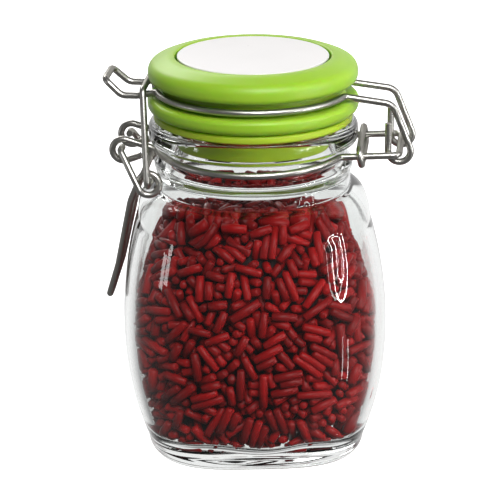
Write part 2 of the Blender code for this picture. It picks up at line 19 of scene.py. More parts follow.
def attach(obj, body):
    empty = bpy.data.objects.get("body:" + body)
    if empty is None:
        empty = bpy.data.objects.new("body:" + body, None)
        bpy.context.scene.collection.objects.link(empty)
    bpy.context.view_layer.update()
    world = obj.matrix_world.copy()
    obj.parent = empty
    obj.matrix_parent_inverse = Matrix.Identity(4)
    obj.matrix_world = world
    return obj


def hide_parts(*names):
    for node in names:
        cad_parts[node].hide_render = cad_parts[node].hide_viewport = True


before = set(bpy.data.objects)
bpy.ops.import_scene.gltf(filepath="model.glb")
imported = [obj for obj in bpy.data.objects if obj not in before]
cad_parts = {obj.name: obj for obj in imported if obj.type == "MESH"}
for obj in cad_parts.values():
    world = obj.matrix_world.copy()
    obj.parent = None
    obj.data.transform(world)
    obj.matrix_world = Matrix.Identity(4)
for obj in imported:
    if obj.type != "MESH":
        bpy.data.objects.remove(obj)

MM = 0.001
GAP = 0.3 * MM  # clearance between neighbouring parts
HUB = 0.3 * MM  # radius at which a turned profile ends, beside its axis
WHITE = (1.0, 1.0, 1.0, 1.0)
LOG = logging.getLogger("jar")

Station = tuple[float, float, float]  # half-width or radius, height, exponent or fillet
Corner = tuple[float, float, float, float]  # x, y, z and bend radius
Place = tuple[float, float]  # two measures that belong together
Array = np.ndarray
Pair = tuple[Array, Array]
Mesh = bpy.types.Mesh
Object = bpy.types.Object
Material = bpy.types.Material
Socket = bpy.types.NodeSocket


class Slot(Enum):
    """Finish slots of the record, one for each real material."""

    GLASS = "glass"
    SUGAR = "sugar"
    WIRE = "wire"
    LID = "lid"
    DISC = "disc"
    SEAL = "seal"


class Body(Enum):
    """Rigid bodies that the pieces ride on."""

    JAR = "jar"
    LID = "lid"
    LEVER = "lever"
    LINK = "link"


# ---- node trees

def linear(code: str) -> tuple[float, float, float, float]:
    """Turn a hex colour into a linear one.

    Args:
        code: sRGB colour, "#rrggbb".

    Returns:
        Linear red, green and blue, with an alpha of one.
    """
    channels = [int(code[i:i + 2], 16) / 255 for i in (1, 3, 5)]
    bent = [c / 12.92 if c <= 0.04045 else ((c + 0.055) / 1.055) ** 2.4 for c in channels]
    return (bent[0], bent[1], bent[2], 1.0)


class Tree:
    """Node tree that is being built."""

    def __init__(self, tree: bpy.types.NodeTree) -> None:
        """Wrap a tree."""
        self.tree = tree

    def feed(self, node: bpy.types.Node, values: dict[Any, Any]) -> None:
        """Set a node's inputs.

        Args:
            node: The node.
            values: Input name or index to a value, or to the output socket that feeds it.
        """
        for key, value in values.items():
            if isinstance(value, Socket):
                self.tree.links.new(value, node.inputs[key])
            else:
                node.inputs[key].default_value = value

    def add(self, kind: str, values: dict[Any, Any] | None = None, out: int | str = 0,
            **settings: Any) -> Socket:
        """Add a node.

        Args:
            kind: The node's bl_idname.
            values: Input name or index to a value, or to the output socket that feeds it.
            out: Name or index of the output that is wanted.
            settings: Properties set on the node itself.

        Returns:
            That output of the new node.
        """
        node = self.tree.nodes.new(kind)
        for name, value in settings.items():
            setattr(node, name, value)
        self.feed(node, values or {})
        return node.outputs[out]


class Paint(Tree):
    """Material that is being built round its Principled shader."""

    def __init__(self, name: str) -> None:
        """Open a material under the plain name of the real one."""
        self.material = bpy.data.materials.new(name)
        self.material.use_nodes = True
        super().__init__(self.material.node_tree)

    def finish(self, values: dict[str, Any]) -> Material:
        """Feed the shader and hand the material over."""
        self.feed(self.tree.nodes["Principled BSDF"], values)
        return self.material


class Recipe(Tree):
    """Geometry Nodes tree with named inputs, run on a mesh to grow a plain one."""

    def __init__(self, name: str, **inputs: str) -> None:
        """Open a tree.

        Args:
            name: The tree's name.
            inputs: Name of each input, besides geometry and material, to its type.
        """
        super().__init__(bpy.data.node_groups.new(name, "GeometryNodeTree"))
        face = self.tree.interface
        face.new_socket("Geometry", in_out="INPUT", socket_type="NodeSocketGeometry")
        self.keys = {label: face.new_socket(label, in_out="INPUT", socket_type="NodeSocket" + kind).identifier
                     for label, kind in {**inputs, "Material": "Material"}.items()}
        face.new_socket("Geometry", in_out="OUTPUT", socket_type="NodeSocketGeometry")
        self.source = self.tree.nodes.new("NodeGroupInput").outputs

    def close(self, geometry: Socket) -> None:
        """End the tree: realise what it made, set its material and put it out.

        Args:
            geometry: What the tree made.
        """
        real = self.add("GeometryNodeRealizeInstances", {"Geometry": geometry})
        dressed = self.add("GeometryNodeSetMaterial", {"Geometry": real, "Material": self.source["Material"]})
        self.feed(self.tree.nodes.new("NodeGroupOutput"), {0: dressed})

    def grow(self, name: str, mesh: Mesh, **values: Any) -> Object:
        """Run the tree on a mesh and keep the result as a plain object.

        Args:
            name: Name of the finished piece.
            mesh: Guide mesh that the tree starts from.
            values: Input name to its value.

        Returns:
            An object at the origin that holds the grown mesh and no modifier.
        """
        start = place(name + "_guide", mesh)
        modifier = start.modifiers.new("grow", "NODES")
        modifier.node_group = self.tree
        for label, value in values.items():
            modifier[self.keys[label]] = value
        graph = bpy.context.evaluated_depsgraph_get()
        grown = bpy.data.meshes.new_from_object(start.evaluated_get(graph))
        start.modifiers.remove(modifier)
        bpy.data.objects.remove(start, do_unlink=True)
        bpy.data.meshes.remove(mesh)
        grown.name = name
        return place(name, grown)


# ---- meshes

def place(name: str, data: bpy.types.ID) -> Object:
    """Link data as an object at the origin.

    Args:
        name: Name of the object.
        data: Its mesh, lamp or camera.

    Returns:
        The object.
    """
    item = bpy.data.objects.new(name, data)
    bpy.context.scene.collection.objects.link(item)
    return item


def guide(name: str, points: Sequence[Any], edges: Sequence[tuple[int, int]], **marks: Array) -> Mesh:
    """Make the points and edges that a recipe follows.

    Args:
        name: Mesh name.
        points: Its points.
        edges: Pairs of points that are joined.
        marks: Attribute name to a number or a vector for each point.

    Returns:
        A mesh without faces.
    """
    mesh = bpy.data.meshes.new(name)
    mesh.from_pydata([tuple(point) for point in points], edges, [])
    for label, values in marks.items():
        kind, key = ("FLOAT_VECTOR", "vector") if np.ndim(values) == 2 else ("FLOAT", "value")
        layer = mesh.attributes.new(label, kind, "POINT")
        layer.data.foreach_set(key, np.asarray(values, np.float32).ravel())
    return mesh


def skin(name: str, rings: Array, material: Material, loop: bool = False,
         crease: float = 60.0) -> Object:
    """Close rings of points into a smooth solid.

    Args:
        name: Name of the piece.
        rings: Array of ring, point and coordinate, from one end of the form to the other.
        material: Finish of the piece.
        loop: Whether the last ring joins the first, as on a hollow ring.
        crease: Angle in degrees above which an edge stays sharp.

    Returns:
        The piece, with its faces pointing out.
    """
    sides = rings.shape[1]
    mesh = bmesh.new()
    rows = [[mesh.verts.new(point) for point in ring] for ring in rings]
    for low, high in list(zip(rows, rows[1:])) + ([(rows[-1], rows[0])] if loop else []):
        for side in range(sides):
            after = (side + 1) % sides
            mesh.faces.new((low[side], low[after], high[after], high[side]))
    if not loop:
        mesh.faces.new(list(reversed(rows[0])))
        mesh.faces.new(rows[-1])
    bmesh.ops.recalc_face_normals(mesh, faces=mesh.faces)
    data = bpy.data.meshes.new(name)
    mesh.to_mesh(data)
    mesh.free()
    data.shade_smooth()
    data.set_sharp_from_angle(angle=math.radians(crease))
    data.materials.append(material)
    return place(name, data)


def lathe(profile: Sequence[tuple[Any, float]], sides: int) -> Array:
    """Turn a profile about Z.

    Args:
        profile: (radius, height) of each ring; a radius may also be an array of one radius a side.
        sides: Points in a ring.

    Returns:
        Rings of points, as skin takes them.
    """
    angles = np.arange(sides) * math.tau / sides
    return np.array([np.stack([r * np.cos(angles), r * np.sin(angles), np.full(sides, z)], 1)
                     for r, z in profile])


def bend(corners: Sequence[Corner], step: float = 9.0, reach: float = math.inf) -> list[Vector]:
    """Line through corners, with an arc at each bent one.

    Args:
        corners: x, y, z and bend radius of each corner; a radius of 0 leaves it sharp.
        step: Turn in degrees between two points of a bend.
        reach: Largest share of the sides next to it that a bend may take.

    Returns:
        Points along the line.
    """
    points: list[Vector] = []
    for index, (*spot, radius) in enumerate(corners):
        here = Vector(spot)
        if radius == 0.0 or index in (0, len(corners) - 1):
            points.append(here)
            continue
        before, after = (Vector(corners[index + way][:3]) - here for way in (-1, 1))
        turn = math.pi - before.angle(after)
        setback = min(radius * math.tan(turn / 2), reach * before.length, reach * after.length)
        before, after = before.normalized(), after.normalized()
        arm = setback / math.sin(turn / 2)
        centre = here + (before + after).normalized() * arm
        start = here + before * setback - centre
        axis = before.cross(after).normalized()
        steps = max(2, round(math.degrees(turn) / step))
        points += [centre + Matrix.Rotation(-turn * i / steps, 3, axis) @ start for i in range(steps + 1)]
    return points


def rounded(corners: Sequence[Station], step: float) -> list[Place]:
    """Profile with its corners rounded.

    Args:
        corners: (radius, height, fillet) of each corner; a fillet of 0 leaves it sharp.
        step: Turn in degrees between two points of a fillet.

    Returns:
        (radius, height) points of the rounded profile.
    """
    flat = [(radius, 0.0, height, fillet) for radius, height, fillet in corners]
    return [(point.x, point.z) for point in bend(flat, step, reach=0.49)]


def ride(piece: Object, body: Body, slot: Slot, *nodes: str) -> None:
    """Set a finished piece on its body.

    Args:
        piece: The piece.
        body: Rigid body that it moves with.
        slot: Finish slot of the record; not used.
        nodes: Solids that it stands for.
    """
    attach(piece, body.value)
    if nodes:
        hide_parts(*nodes)
    LOG.info("%s: %d faces on %s", piece.name, len(piece.data.polygons), body.value)


# ---- finishes

@dataclass(frozen=True)
class PressedGlass:
    """Clear soda-lime glass, pressed and fire-polished: glossy, faintly rippled where it cooled."""

    tint: str = "#fbfdfc"
    ior: float = 1.5
    ripple_size: float = 16 * MM
    ripple_depth: float = 0.015 * MM

    def material(self) -> Material:
        """Build the glass.

        Returns:
            The material.
        """
        paint = Paint("pressed soda-lime glass")
        ripple = paint.add("ShaderNodeTexNoise", {
            "Vector": paint.add("ShaderNodeTexCoord", out="Object"), "Scale": 1 / self.ripple_size,
            "Detail": 1.0, "Roughness": 0.4})
        bump = paint.add("ShaderNodeBump", {"Strength": 0.6, "Distance": self.ripple_depth, "Height": ripple})
        return paint.finish({"Base Color": linear(self.tint), "Transmission Weight": 1.0, "Roughness": 0.0,
                             "IOR": self.ior, "Normal": bump})


@dataclass(frozen=True)
class MouldedPlastic:
    """Injection-moulded polypropylene: satin skin with a very fine orange peel."""

    name: str
    deep: str
    pale: str
    roughness: float
    spread: float = 0.05
    peel_size: float = 1.1 * MM
    peel_depth: float = 0.02 * MM
    cloud_size: float = 14 * MM
    ior: float = 1.49
    glow: float = 0.7
    glow_depth: float = 4.0 * MM
    glow_colour: tuple[float, float, float] = (0.6, 1.0, 0.25)

    def material(self) -> Material:
        """Build the plastic, its colour drifting between deep and pale.

        Returns:
            The material.
        """
        paint = Paint(self.name)
        spot = paint.add("ShaderNodeTexCoord", out="Object")
        cloud = paint.add("ShaderNodeTexNoise", {"Vector": spot, "Scale": 1 / self.cloud_size, "Detail": 2.0})
        colour = paint.add("ShaderNodeMix", {0: cloud, 6: linear(self.deep), 7: linear(self.pale)}, out=2,
                           data_type="RGBA")
        peel = paint.add("ShaderNodeTexNoise", {"Vector": spot, "Scale": 1 / self.peel_size, "Detail": 3.0})
        gloss = paint.add("ShaderNodeMapRange", {
            "Value": peel, "To Min": self.roughness - self.spread, "To Max": self.roughness + self.spread})
        bump = paint.add("ShaderNodeBump", {"Strength": 0.5, "Distance": self.peel_depth, "Height": peel})
        return paint.finish({"Base Color": colour, "Roughness": gloss, "Normal": bump, "IOR": self.ior,
                             "Subsurface Weight": self.glow, "Subsurface Radius": self.glow_colour,
                             "Subsurface Scale": self.glow_depth})


@dataclass(frozen=True)
class DrawnSteel:
    """Drawn and galvanised steel wire: bright metal with fine die lines along its length."""

    light: str = "#d6d4cf"
    dark: str = "#b4b2ac"
    edge: str = "#8a8884"
    roughness: float = 0.36
    spread: float = 0.07
    line_pitch: float = 0.12
    line_length: float = 6 * MM
    line_depth: float = 0.02 * MM

    def material(self) -> Material:
        """Build the wire's metal from the attributes along and round it.

        Returns:
            The material.
        """
        paint = Paint("drawn steel wire")
        along, around = (
            paint.add("ShaderNodeMath", {
                0: paint.add("ShaderNodeAttribute", out="Fac", attribute_name=name), 1: size},
                operation="DIVIDE")
            for name, size in (("along", self.line_length), ("around", self.line_pitch)))
        lines = paint.add("ShaderNodeTexNoise", {
            "Vector": paint.add("ShaderNodeCombineXYZ", {"X": along, "Y": around}),
            "Scale": 1.0, "Detail": 3.0, "Roughness": 0.6})
        colour = paint.add("ShaderNodeMix", {0: lines, 6: linear(self.dark), 7: linear(self.light)}, out=2,
                           data_type="RGBA")
        gloss = paint.add("ShaderNodeMapRange", {
            "Value": lines, "To Min": self.roughness - self.spread, "To Max": self.roughness + self.spread})
        bump = paint.add("ShaderNodeBump", {"Strength": 0.35, "Distance": self.line_depth, "Height": lines})
        return paint.finish({"Base Color": colour, "Roughness": gloss, "Normal": bump, "Metallic": 1.0,
                             "Specular Tint": linear(self.edge)})


@dataclass(frozen=True)
class SugarStrand:
    """Extruded sugar paste, dried: waxy red, matt where it broke, each piece a little different."""

    name: str = "red sugar strand"
    deep: str = "#6e0a0c"
    pale: str = "#980d0f"
    roughness: float = 0.38
    sheen_level: float = 0.18
    grain_size: float = 0.5 * MM
    grain_depth: float = 0.06 * MM
    grain_share: float = 0.35

    def material(self) -> Material:
        """Build the sugar, its tone taken from each piece's own attribute and varied by its grain.

        Returns:
            The material.
        """
        paint = Paint(self.name)
        tone = paint.add("ShaderNodeAttribute", out="Fac", attribute_name="tone")
        grain = paint.add("ShaderNodeTexNoise", {
            "Vector": paint.add("ShaderNodeTexCoord", out="Object"), "Scale": 1 / self.grain_size,
            "Detail": 3.0, "Roughness": 0.6})
        blotch = paint.add("ShaderNodeMath", {0: grain, 1: self.grain_share, 2: tone},
                           operation="MULTIPLY_ADD")
        share = paint.add("ShaderNodeMath", {0: blotch, 1: 0.17}, operation="SUBTRACT")
        colour = paint.add("ShaderNodeMix", {0: share, 6: linear(self.deep), 7: linear(self.pale)}, out=2,
                           data_type="RGBA")
        bump = paint.add("ShaderNodeBump", {"Strength": 0.6, "Distance": self.grain_depth, "Height": grain})
        return paint.finish({"Base Color": colour, "Normal": bump, "Roughness": self.roughness,
                             "Specular IOR Level": self.sheen_level})


# ---- the glass

@dataclass(frozen=True)
class JarForm:
    """Outline of the glass: a rounded-square body under a round neck."""

    sides: int = 144
    body_turn: float = math.radians(8.0)
    foot_half_width: float = 21.4 * MM
    foot_height: float = 4.0 * MM
    foot_belly_half_width: float = 24.8 * MM
    belly_half_width: float = 29.6 * MM
    belly_height: float = 30.3 * MM
    shoulder_half_width: float = 25.9 * MM
    shoulder_height: float = 54.0 * MM
    lower_swell: float = 2.2
    upper_swell: float = 1.9
    shoulder_turn: float = math.radians(80.0)
    waist_radius: float = 21.7 * MM
    waist_height: float = 60.3 * MM
    bead_radius: float = 22.3 * MM
    bead_height: float = 65.8 * MM
    groove_radius: float = 20.4 * MM
    groove_bottom: float = 67.3 * MM
    groove_top: float = 70.7 * MM
    rim_radius: float = 23.2 * MM
    rim_height: float = 75.2 * MM
    bore_radius: float = 18.6 * MM
    wall: float = 2.1 * MM
    throat_radius: float = 19.3 * MM
    throat_height: float = 59.2 * MM
    throat_turn: float = 0.5
    funnel_radius: float = 18.3 * MM
    funnel_height: float = 64.9 * MM
    hollow_shoulder: float = 52.5 * MM
    floor_height: float = 4.8 * MM
    floor_round: float = 4.4 * MM
    punt: tuple[Place, ...] = ((0.4 * MM, 1.0 * MM), (8 * MM, 0.92 * MM), (13 * MM, 0.6 * MM),
                               (16 * MM, 0.2 * MM), (18 * MM, 0.0))
    pool_size: float = 13 * MM
    pool_height: float = 14 * MM
    pool_depth: float = 0.55 * MM
    foot_square: float = 3.2
    belly_square: float = 2.8
    round: float = 2.0

    def radius(self, half_width: Array, power: Array, angle: Array) -> Array:
        """Distance from the axis to the rounded-square section.

        Args:
            half_width: Half the width across the section's flats.
            power: Exponent of the section, 2 for a circle.
            angle: Direction about Z.

        Returns:
            Radius in that direction.
        """
        c, s = np.abs(np.cos(angle - self.body_turn)), np.abs(np.sin(angle - self.body_turn))
        return half_width / (c ** power + s ** power) ** (1.0 / power)

    def belly(self, height: float, inset: float = 0.0) -> Station:
        """Section between foot and shoulder.

        Args:
            height: Height of the section.
            inset: How far it lies inside the outer face.

        Returns:
            Its half-width, height and exponent.
        """
        power = self.belly_square
        end_width, end_height, swell = self.shoulder_half_width, self.shoulder_height, self.upper_swell
        if height < self.belly_height:
            end_width, end_height, swell = self.foot_belly_half_width, self.foot_height, self.lower_swell
            blend = (height - self.belly_height) / (self.foot_height - self.belly_height)
            power += (self.foot_square - self.belly_square) * blend
        share = (height - self.belly_height) / (end_height - self.belly_height)
        half_width = self.belly_half_width - (self.belly_half_width - end_width) * share ** swell
        return (half_width - inset, height, power)

    def span(self, low: float, high: float, steps: int, inset: float = 0.0) -> list[Station]:
        """Belly stations from low to high, both left out."""
        return [self.belly(low + (high - low) * i / steps, inset) for i in range(1, steps)]

    @staticmethod
    def arc(start: Station, end: Station, steps: int, upright_first: bool,
            sweep: Place = (0.0, math.pi / 2)) -> list[Station]:
        """Quarter ellipse between two stations, or a part of it.

        Args:
            start: Where the whole quarter would begin.
            end: Where it would end.
            steps: How many steps it is made in.
            upright_first: Whether it leaves its start going up.
            sweep: Angles in the quarter that are the part's start and end.

        Returns:
            Stations along it.
        """
        stations = []
        for step in range(steps + 1):
            turn = sweep[0] + (sweep[1] - sweep[0]) * step / steps
            rise, run = math.sin(turn), 1 - math.cos(turn)
            if not upright_first:
                rise, run = run, rise
            stations.append((start[0] + (end[0] - start[0]) * run, start[1] + (end[1] - start[1]) * rise,
                             start[2] + (end[2] - start[2]) * step / steps))
        return stations

    def outside(self) -> list[Station]:
        """Trace the outer face.

        Returns:
            Stations from the middle of the foot up over the rim.
        """
        foot = (self.foot_half_width, 0.0, self.foot_square)
        hip, shoulder = self.belly(self.foot_height), self.belly(self.shoulder_height)
        flat, square = self.punt[-1][0], self.foot_square - self.round
        stations = [(r, z, self.round + square * (r / flat) ** 2) for r, z in self.punt]
        stations += self.arc(foot, hip, 10, upright_first=False)
        stations += self.span(self.foot_height, self.shoulder_height, 44)
        waist = (self.waist_radius, self.waist_height, self.round)
        stations += self.arc(shoulder, waist, 16, upright_first=True, sweep=(0.0, self.shoulder_turn))
        neck = [(stations[-1][0], stations[-1][1], 0.0),
                (self.waist_radius - 0.1 * MM, self.waist_height + 0.1 * MM, 0.7 * MM),
                (self.waist_radius - 0.1 * MM, self.bead_height - 2.0 * MM, 3 * MM),
                (self.bead_radius, self.bead_height, 1.3 * MM),
                (self.groove_radius, self.groove_bottom + 0.3 * MM, 0.8 * MM),
                (self.groove_radius, self.groove_top - 0.1 * MM, 0.7 * MM),
                (self.rim_radius, self.groove_top, 1.2 * MM),
                (self.rim_radius, self.rim_height, 1.4 * MM),
                (self.bore_radius, self.rim_height, 1.2 * MM),
                (self.bore_radius, self.groove_bottom, 0.0)]
        return stations + [(r, z, self.round) for r, z in rounded(neck, 9.0)[1:]]

    def cavity(self) -> list[Station]:
        """Trace the hollow.

        Returns:
            Stations from under the bore down to the middle of the floor.
        """
        shoulder = self.belly(self.hollow_shoulder, self.wall)
        top = (self.throat_radius, self.throat_height, self.round)
        vault = self.arc(top, shoulder, 24, upright_first=False, sweep=(self.throat_turn, math.pi / 2))
        throat = [(self.bore_radius, self.groove_bottom, 0.0),
                  (self.funnel_radius, self.funnel_height, 0.4 * MM),
                  (self.throat_radius + 0.4 * MM, self.funnel_height - 2.1 * MM, 0.5 * MM),
                  (self.throat_radius + 0.8 * MM, self.throat_height + 1.0 * MM, 0.8 * MM),
                  (vault[0][0], vault[0][1], 0.0)]
        stations = [(r, z, self.round) for r, z in rounded(throat, 6.0)[1:]] + vault[1:-1]
        low = self.belly(self.floor_height + self.floor_round, self.wall)
        floor = (low[0] - self.floor_round, self.floor_height, self.foot_square)
        stations += [shoulder] + self.span(shoulder[1], low[1], 36, self.wall)
        stations += self.arc(low, floor, 12, upright_first=True)
        return stations + [(floor[0] * share, *floor[1:]) for share in (0.75, 0.5, 0.25, 0.02)]

    def rings(self, stations: Sequence[Station], sides: int) -> Array:
        """Points of each station's section, so many a ring, as skin takes them."""
        angles = np.arange(sides) * math.tau / sides
        return lathe([(self.radius(width, power, angles), height)
                      for width, height, power in stations], sides)

    def build(self) -> None:
        """Make the glass as one closed skin, uneven at its floor, and set it on the jar."""
        outside = self.outside()
        rings = self.rings(outside + self.cavity(), self.sides)
        for point in rings[len(outside):].reshape(-1, 3):
            near_floor = max(0.0, 1.0 - point[2] / self.pool_height)
            sag = noise.noise(Vector((point[0], point[1], 0.0)) / self.pool_size)
            point[2] += 2 * self.pool_depth * sag * min(1.0, 2 * near_floor)
        glass = skin("jar_glass", rings, PressedGlass().material())
        glass.visible_shadow = False
        glass.visible_diffuse = False
        ride(glass, Body.JAR, Slot.GLASS, "glass_jar")


# ---- the sugar strands

@dataclass
class StrandFill:
    """Sugar strands that fill the jar: a packed layer next to the glass round a dark core, whose near-black
    red is painted shade.
    """

    form: JarForm
    seed: int = 7
    count: int = 1800
    sides: int = 8
    thickness: float = 2.0 * MM
    girths: Place = (0.93, 1.05)
    length: float = 7.2 * MM
    length_spread: float = 0.34
    bluntness: float = -0.6
    waviness: float = 0.5 * MM
    depth: float = 7.0 * MM
    clearance: float = -0.02 * MM
    top: float = 56.8 * MM
    brow: tuple[Place, ...] = ((26.9 * MM, 38.0 * MM), (24.9 * MM, 44.2 * MM), (23.8 * MM, 47.8 * MM),
                               (20.9 * MM, 52.4 * MM), (19.9 * MM, 57.6 * MM))
    rounds: int = 160
    stride: float = 0.5 * MM
    pull: float = 0.05 * MM
    pull_share: float = 0.6
    core_inset: float = 4.2 * MM
    heights: Array = field(init=False)
    widths: Array = field(init=False)
    powers: Array = field(init=False)

    def __post_init__(self) -> None:
        """Tabulate the outline of the room the fill has: the hollow, then the fill's sloping brow."""
        stations = sorted(self.form.cavity(), key=lambda s: (s[1], s[0]))
        rows = np.array([s for s in stations if s[0] > 10 * MM])
        slope = np.array(self.brow)
        self.heights = np.linspace(rows[0, 1], slope[-1, 1], 160)
        self.widths = np.interp(self.heights, rows[:, 1], rows[:, 0])
        self.powers = np.interp(self.heights, rows[:, 1], rows[:, 2])
        limit = np.interp(self.heights, slope[:, 1], slope[:, 0])
        turn = np.interp(self.heights, slope[[0, -1], 1], (self.form.belly_square, self.form.round))
        above = (self.heights > slope[0, 1]) & (limit < self.widths)
        self.widths, self.powers = np.where(above, limit, self.widths), np.where(above, turn, self.powers)

    def wall(self, points: Array) -> Pair:
        """Find the hollow's side wall.

        Args:
            points: Points in the hollow.

        Returns:
            Each point's distance to the wall, positive inside, and the unit way in from the wall.
        """
        angle = np.arctan2(points[:, 1], points[:, 0])
        reach = np.hypot(points[:, 0], points[:, 1])
        step = 0.1 * MM
        limits = []
        for shift in (-step, 0.0, step):
            z = points[:, 2] + shift
            width = np.interp(z, self.heights, self.widths)
            power = np.interp(z, self.heights, self.powers)
            limits.append(self.form.radius(width, power, angle))
        slope = (limits[2] - limits[0]) / (2 * step)
        fall = np.sqrt(1 + slope ** 2)
        inward = np.stack([-np.cos(angle), -np.sin(angle), slope], 1) / fall[:, None]
        return (limits[1] - reach) / fall, inward

    def nearest(self, side: Array, height: Array) -> Array:
        """Distance to the side wall, the floor or the top, whichever is nearest."""
        return np.minimum(np.minimum(side, height - self.form.floor_height), self.top - height)

    def scatter(self) -> tuple[Array, Array, Array]:
        """Drop strands at random in the layer next to the glass.

        Returns:
            Both ends of each strand's centre line, and its radius.
        """
        rng = np.random.default_rng(self.seed)
        found = np.empty((0, 3))
        half = self.form.belly_half_width
        floor, top = self.form.floor_height + self.thickness / 2, self.top - self.thickness / 2
        while len(found) < self.count:
            tries = rng.uniform((-half, -half, floor), (half, half, top), (8000, 3))
            side, _ = self.wall(tries)
            keep = (side > self.thickness / 2) & (self.nearest(side, tries[:, 2]) < self.depth)
            found = np.vstack([found, tries[keep]])
        centre = found[:self.count]
        axis = rng.normal(size=(self.count, 3))
        axis /= np.linalg.norm(axis, axis=1)[:, None]
        spread = 1 + self.length_spread * rng.uniform(-1, 1, self.count)
        line = self.length * spread - self.thickness
        girth = self.thickness / 2 * rng.uniform(*self.girths, self.count)
        half_line = axis * line[:, None] / 2
        return centre - half_line, centre + half_line, girth

    @staticmethod
    def closest(p: Array, q: Array, r: Array, s: Array) -> Pair:
        """Find where pairs of segments come closest.

        Args:
            p: Starts of the first segments.
            q: Their ends.
            r: Starts of the second segments.
            s: Their ends.

        Returns:
            Share from 0 to 1 along each first segment, and along each second one.
        """
        u, v, w = q - p, s - r, p - r
        a, b, c = (u * u).sum(1), (u * v).sum(1), (v * v).sum(1)
        d, e = (u * w).sum(1), (v * w).sum(1)
        gap = np.maximum(a * c - b * b, 1e-14)
        first = np.clip((b * e - c * d) / gap, 0, 1)
        second = np.clip((b * first + e) / np.maximum(c, 1e-12), 0, 1)
        first = np.clip((b * second - d) / np.maximum(a, 1e-12), 0, 1)
        return first, second

    def confine(self, points: Array, girth: Array, pull: float) -> Array:
        """Keep points inside the glass, and in the layer next to it.

        Args:
            points: Ends or middles of the strands.
            girth: Radius of each strand.
            pull: How far each is drawn towards the glass.

        Returns:
            The moved points.
        """
        room = girth + self.clearance
        side, inward = self.wall(points)
        lost = np.clip(self.nearest(side, points[:, 2]) - self.depth, 0.0, self.stride)
        lost = lost + pull * (side < self.depth)
        points = points - inward * lost[:, None]
        side, inward = self.wall(points)
        points = points + inward * np.maximum(0.0, room - side)[:, None]
        points[:, 2] = np.clip(points[:, 2], self.form.floor_height + room, self.top - girth)
        return points

    def settle(self, start: Array, end: Array, girth: Array) -> Pair:
        """Push strands apart and against the glass until they lie packed.

        Args:
            start: First ends of the centre lines.
            end: Their other ends.
            girth: Radius of each strand.

        Returns:
            Both ends of the settled centre lines.
        """
        line = np.linalg.norm(end - start, axis=1)
        count = len(start)
        for turn in range(self.rounds):
            if turn % 8 == 0:
                centre, reach = (start + end) / 2, line / 2 + girth + self.stride
                apart = np.linalg.norm(centre[:, None] - centre, axis=2)
                a, b = np.nonzero(np.triu(apart < reach[:, None] + reach, 1))
            s, t = self.closest(start[a], end[a], start[b], end[b])
            near_a = start[a] + (end[a] - start[a]) * s[:, None]
            near_b = start[b] + (end[b] - start[b]) * t[:, None]
            between = near_a - near_b
            apart = np.maximum(np.linalg.norm(between, axis=1), 1e-9)
            overlap = girth[a] + girth[b] - apart
            touch = overlap > 0
            push = between[touch] / apart[touch, None] * (0.5 * overlap[touch, None])
            move_start, move_end, shares = np.zeros_like(start), np.zeros_like(end), np.zeros(count)
            for who, share, sign in ((a[touch], s[touch], 1.0), (b[touch], t[touch], -1.0)):
                for axis in range(3):
                    part = sign * push[:, axis]
                    move_start[:, axis] += np.bincount(who, part * (1 - share), count)
                    move_end[:, axis] += np.bincount(who, part * share, count)
                shares += np.bincount(who, minlength=count)
            ease = 1.6 / np.maximum(1.0, 0.45 * shares)[:, None]
            start, end = start + move_start * ease, end + move_end * ease
            pull = self.pull if turn < self.pull_share * self.rounds else 0.0
            start, end = self.confine(start, girth, pull), self.confine(end, girth, pull)
            middle, along = (start + end) / 2, end - start
            along /= np.maximum(np.linalg.norm(along, axis=1), 1e-9)[:, None]
            middle += self.confine(middle, girth, 0.0) - middle
            start, end = middle - along * line[:, None] / 2, middle + along * line[:, None] / 2
        return start, end

    @staticmethod
    def recipe() -> Recipe:
        """Tree that sets one rounded rod on each point and turns it along the strand.

        The rod is a ball whose upper and lower halves are drawn apart and pressed blunt; its
        middle ring stays, so that the rod can be waved.

        Returns:
            The closed recipe.
        """
        made = Recipe("strands", Thickness="Float", Length="Float", Sides="Int", Bluntness="Float",
                      Waviness="Float", Seed="Int")
        source = made.source
        radius = made.add("ShaderNodeMath", {0: source["Thickness"], 1: 0.5}, operation="MULTIPLY")
        ball = made.add("GeometryNodeMeshUVSphere", {
            "Segments": source["Sides"], "Rings": 6, "Radius": radius})
        spot = made.add("GeometryNodeInputPosition")
        height = made.add("ShaderNodeSeparateXYZ", {0: spot}, out="Z")
        straight = made.add("ShaderNodeMath", {0: source["Length"], 1: source["Thickness"]},
                            operation="SUBTRACT")
        down, up = (made.add("ShaderNodeMath", {0: straight, 1: share}, operation="MULTIPLY")
                    for share in (-0.5, 0.5))
        lift = made.add("ShaderNodeMapRange", {
            "Value": height, "From Min": -0.05 * MM, "From Max": 0.05 * MM, "To Min": down, "To Max": up})
        sink = made.add("ShaderNodeMath", {0: height, 1: source["Bluntness"], 2: lift},
                        operation="MULTIPLY_ADD")
        rod = made.add("GeometryNodeSetPosition", {
            "Geometry": ball, "Offset": made.add("ShaderNodeCombineXYZ", {"Z": sink})})
        axis, girth, stretch = (
            made.add("GeometryNodeInputNamedAttribute", {"Name": name}, data_type=kind)
            for name, kind in (("axis", "FLOAT_VECTOR"), ("girth", "FLOAT"), ("stretch", "FLOAT")))
        strands = made.add("GeometryNodeInstanceOnPoints", {
            "Points": source["Geometry"], "Instance": rod,
            "Rotation": made.add("FunctionNodeAlignRotationToVector", {"Vector": axis}, axis="Z"),
            "Scale": made.add("ShaderNodeCombineXYZ", {"X": girth, "Y": girth, "Z": stretch})})
        draw = made.add("FunctionNodeRandomValue", {"Seed": source["Seed"]}, out=1, data_type="FLOAT")
        toned = made.add("GeometryNodeStoreNamedAttribute", {
            "Geometry": strands, "Name": "tone", "Value": draw}, data_type="FLOAT", domain="INSTANCE")
        real = made.add("GeometryNodeRealizeInstances", {"Geometry": toned})
        drift = made.add("ShaderNodeTexNoise", {"Vector": spot, "Scale": 260.0, "Detail": 1.0}, out="Color")
